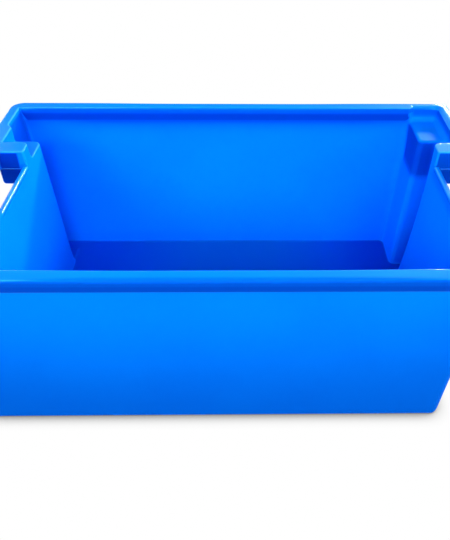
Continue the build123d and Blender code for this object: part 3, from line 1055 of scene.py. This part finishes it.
# Floor and surroundings: reach of the shadow in metres, with its grey by how open the floor lies there
SHADOW_REACH = 0.022
SHADOW_SAMPLES = 16
SHADOW_STOPS = (
    (0.0, 0.10),
    (0.42, 0.32),
    (0.53, 0.49),
    (0.61, 0.67),
    (0.72, 0.83),
    (0.85, 0.95),
    (1.0, 1.0),
)
FLOOR_GREY = grey(0.12)
FLOOR_REACH = 6.0
WHITE = grey(1.0)
SOFT_LIGHT = 0.30


def pale_floor():
    """Floor that shows as white to the camera, darkened close under the crate."""
    material = bpy.data.materials.new("pale_floor")
    finish = Finish(material)
    near = finish.node(
        "ShaderNodeAmbientOcclusion", {"samples": SHADOW_SAMPLES},
        {"Color": WHITE, "Distance": SHADOW_REACH}, output="AO",
    )
    shadow = finish.node(
        "ShaderNodeValToRGB",
        {"stops": [(at, grey(level)) for at, level in SHADOW_STOPS]},
        {"Fac": near},
    )
    shown = finish.node("ShaderNodeEmission", {}, {"Color": shadow, "Strength": 1.0})
    matt = finish.node("ShaderNodeBsdfDiffuse", {}, {"Color": FLOOR_GREY})
    floor = finish.node("ShaderNodeMixShader", {}, {0: finish.background_rays(), 1: matt, 2: shown})
    finish.node("ShaderNodeOutputMaterial", {}, {"Surface": floor})
    return material


def studio():
    """White surroundings for the camera, and an even, softer light on the crate."""
    world = bpy.data.worlds.new("studio")
    bpy.context.scene.world = world
    finish = Finish(world)
    white = finish.node("ShaderNodeBackground", {}, {"Color": WHITE, "Strength": 1.0})
    soft = finish.node("ShaderNodeBackground", {}, {"Color": WHITE, "Strength": SOFT_LIGHT})
    sky = finish.node("ShaderNodeMixShader", {}, {0: finish.background_rays(), 1: soft, 2: white})
    finish.node("ShaderNodeOutputWorld", {}, {"Surface": sky})


def softbox(name, place, target, size, power, spread=180.0, mirrored=True):
    """Rectangular lamp that hangs at a place and faces a target, in metres and degrees."""
    lamp = bpy.data.lights.new(name, "AREA")
    lamp.shape = "RECTANGLE"
    lamp.size, lamp.size_y = size
    lamp.energy = power
    lamp.spread = math.radians(spread)
    box = bpy.data.objects.new(name, lamp)
    box.location = place
    box.rotation_euler = (Vector(place) - Vector(target)).to_track_quat("Z", "Y").to_euler()
    box.visible_camera = False
    box.visible_glossy = mirrored
    bpy.context.collection.objects.link(box)
    return box


def from_side(azimuth, elevation, distance):
    """Place seen from the crate: azimuth from the rear towards the right end, in degrees."""
    turn, lift = math.radians(azimuth), math.radians(elevation)
    flat = distance * math.cos(lift)
    return flat * math.sin(turn), flat * math.cos(turn), distance * math.sin(lift)


# Camera as the photograph was taken: place in millimetres, angles in degrees, lens in pixels
CAMERA_PLACE = (20.6, -675.5, 631.6)
CAMERA_PITCH = 38.92
CAMERA_YAW = -1.45
CAMERA_ROLL = -0.77
CAMERA_FOCAL = 624.0
CAMERA_MIDDLE = 257.6
PICTURE_WIDTH = 450
PICTURE_HEIGHT = 540
SENSOR = 36.0
NEAREST = 0.01


def set_camera():
    """Sets up the camera from the numbers above."""
    camera_data = bpy.data.cameras.new("camera")
    camera = bpy.data.objects.new("camera", camera_data)
    bpy.context.collection.objects.link(camera)
    pitch, yaw, roll = (math.radians(angle) for angle in (CAMERA_PITCH, CAMERA_YAW, CAMERA_ROLL))
    right = Vector((math.cos(yaw), math.sin(yaw), 0.0))
    forward = Vector((
        -math.sin(yaw) * math.cos(pitch), math.cos(yaw) * math.cos(pitch), -math.sin(pitch),
    ))
    down = forward.cross(right)
    level = right * math.cos(roll) + down * math.sin(roll)
    up = right * math.sin(roll) - down * math.cos(roll)
    turn = Matrix((level, up, -forward)).transposed().to_4x4()
    camera.matrix_world = Matrix.Translation(Vector(CAMERA_PLACE) * MM) @ turn
    camera_data.sensor_fit = "AUTO"
    camera_data.sensor_width = SENSOR
    camera_data.lens = CAMERA_FOCAL / PICTURE_HEIGHT * SENSOR
    camera_data.shift_x = -(CAMERA_MIDDLE - PICTURE_WIDTH / 2) / PICTURE_HEIGHT
    camera_data.clip_start = NEAREST
    bpy.context.scene.camera = camera


set_camera()
bpy.context.scene.view_settings.view_transform = "Standard"

plastic = blue_plastic()
for name, solid, covered in crate_pieces():
    set_skin(name, solid, covered, plastic)

floor_mesh = bpy.data.meshes.new("floor")
floor_mesh.from_pydata(
    [(-FLOOR_REACH, -FLOOR_REACH, 0), (FLOOR_REACH, -FLOOR_REACH, 0),
     (FLOOR_REACH, FLOOR_REACH, 0), (-FLOOR_REACH, FLOOR_REACH, 0)],
    [], [(0, 1, 2, 3)],
)
floor_mesh.materials.append(pale_floor())
floor = bpy.data.objects.new("floor", floor_mesh)
bpy.context.collection.objects.link(floor)

studio()

# Lamps: spots that even out the inside, then soft boxes round the crate. Places and sizes are in metres
CRATE_MIDDLE = (0.0, 0.0, 0.15)
LAMP_DISTANCE = 2.5
LONG_LAMP = (1.0, 0.3)
WIDE_LAMP = (0.9, 0.5)
softbox("front_spot", (0.1, -1.05, 0.9), (0.0, 0.19, 0.14), LONG_LAMP, 1.16, 40.0, mirrored=False)
softbox("left_front_spot", (-0.7, -0.95, 0.8), (0.22, 0.16, 0.12), LONG_LAMP, 0.36, 40.0, mirrored=False)
softbox("left_spot", (-1.2, -0.2, 0.7), (0.27, 0.0, 0.14), (0.6, 0.3), 0.44, 45.0, mirrored=False)
softbox("right_spot", (1.5, 0.2, 0.72), (-0.28, -0.02, 0.19), (0.5, 0.3), 0.32, 35.0)
softbox("front_low_softbox", (0.0, -1.5, 0.3), (0.0, -0.2, 0.2), LONG_LAMP, 1.6, 120.0, mirrored=False)
for name, azimuth, elevation, size, power, mirrored in (
    ("left_front_softbox", -150.0, 28.0, WIDE_LAMP, 19.2, False),
    ("right_front_softbox", 120.0, 28.0, WIDE_LAMP, 16.2, False),
    ("right_low_softbox", 90.0, 14.0, WIDE_LAMP, 22.9, True),
    ("right_softbox", 60.0, 28.0, WIDE_LAMP, 20.3, True),
    ("right_rear_softbox", 30.0, 25.0, (0.5, 0.2), 63.0, True),
    ("left_rear_softbox", -40.0, 26.0, WIDE_LAMP, 12.0, True),
):
    place = from_side(azimuth, elevation, LAMP_DISTANCE)
    softbox(name, place, CRATE_MIDDLE, size, power, mirrored=mirrored)
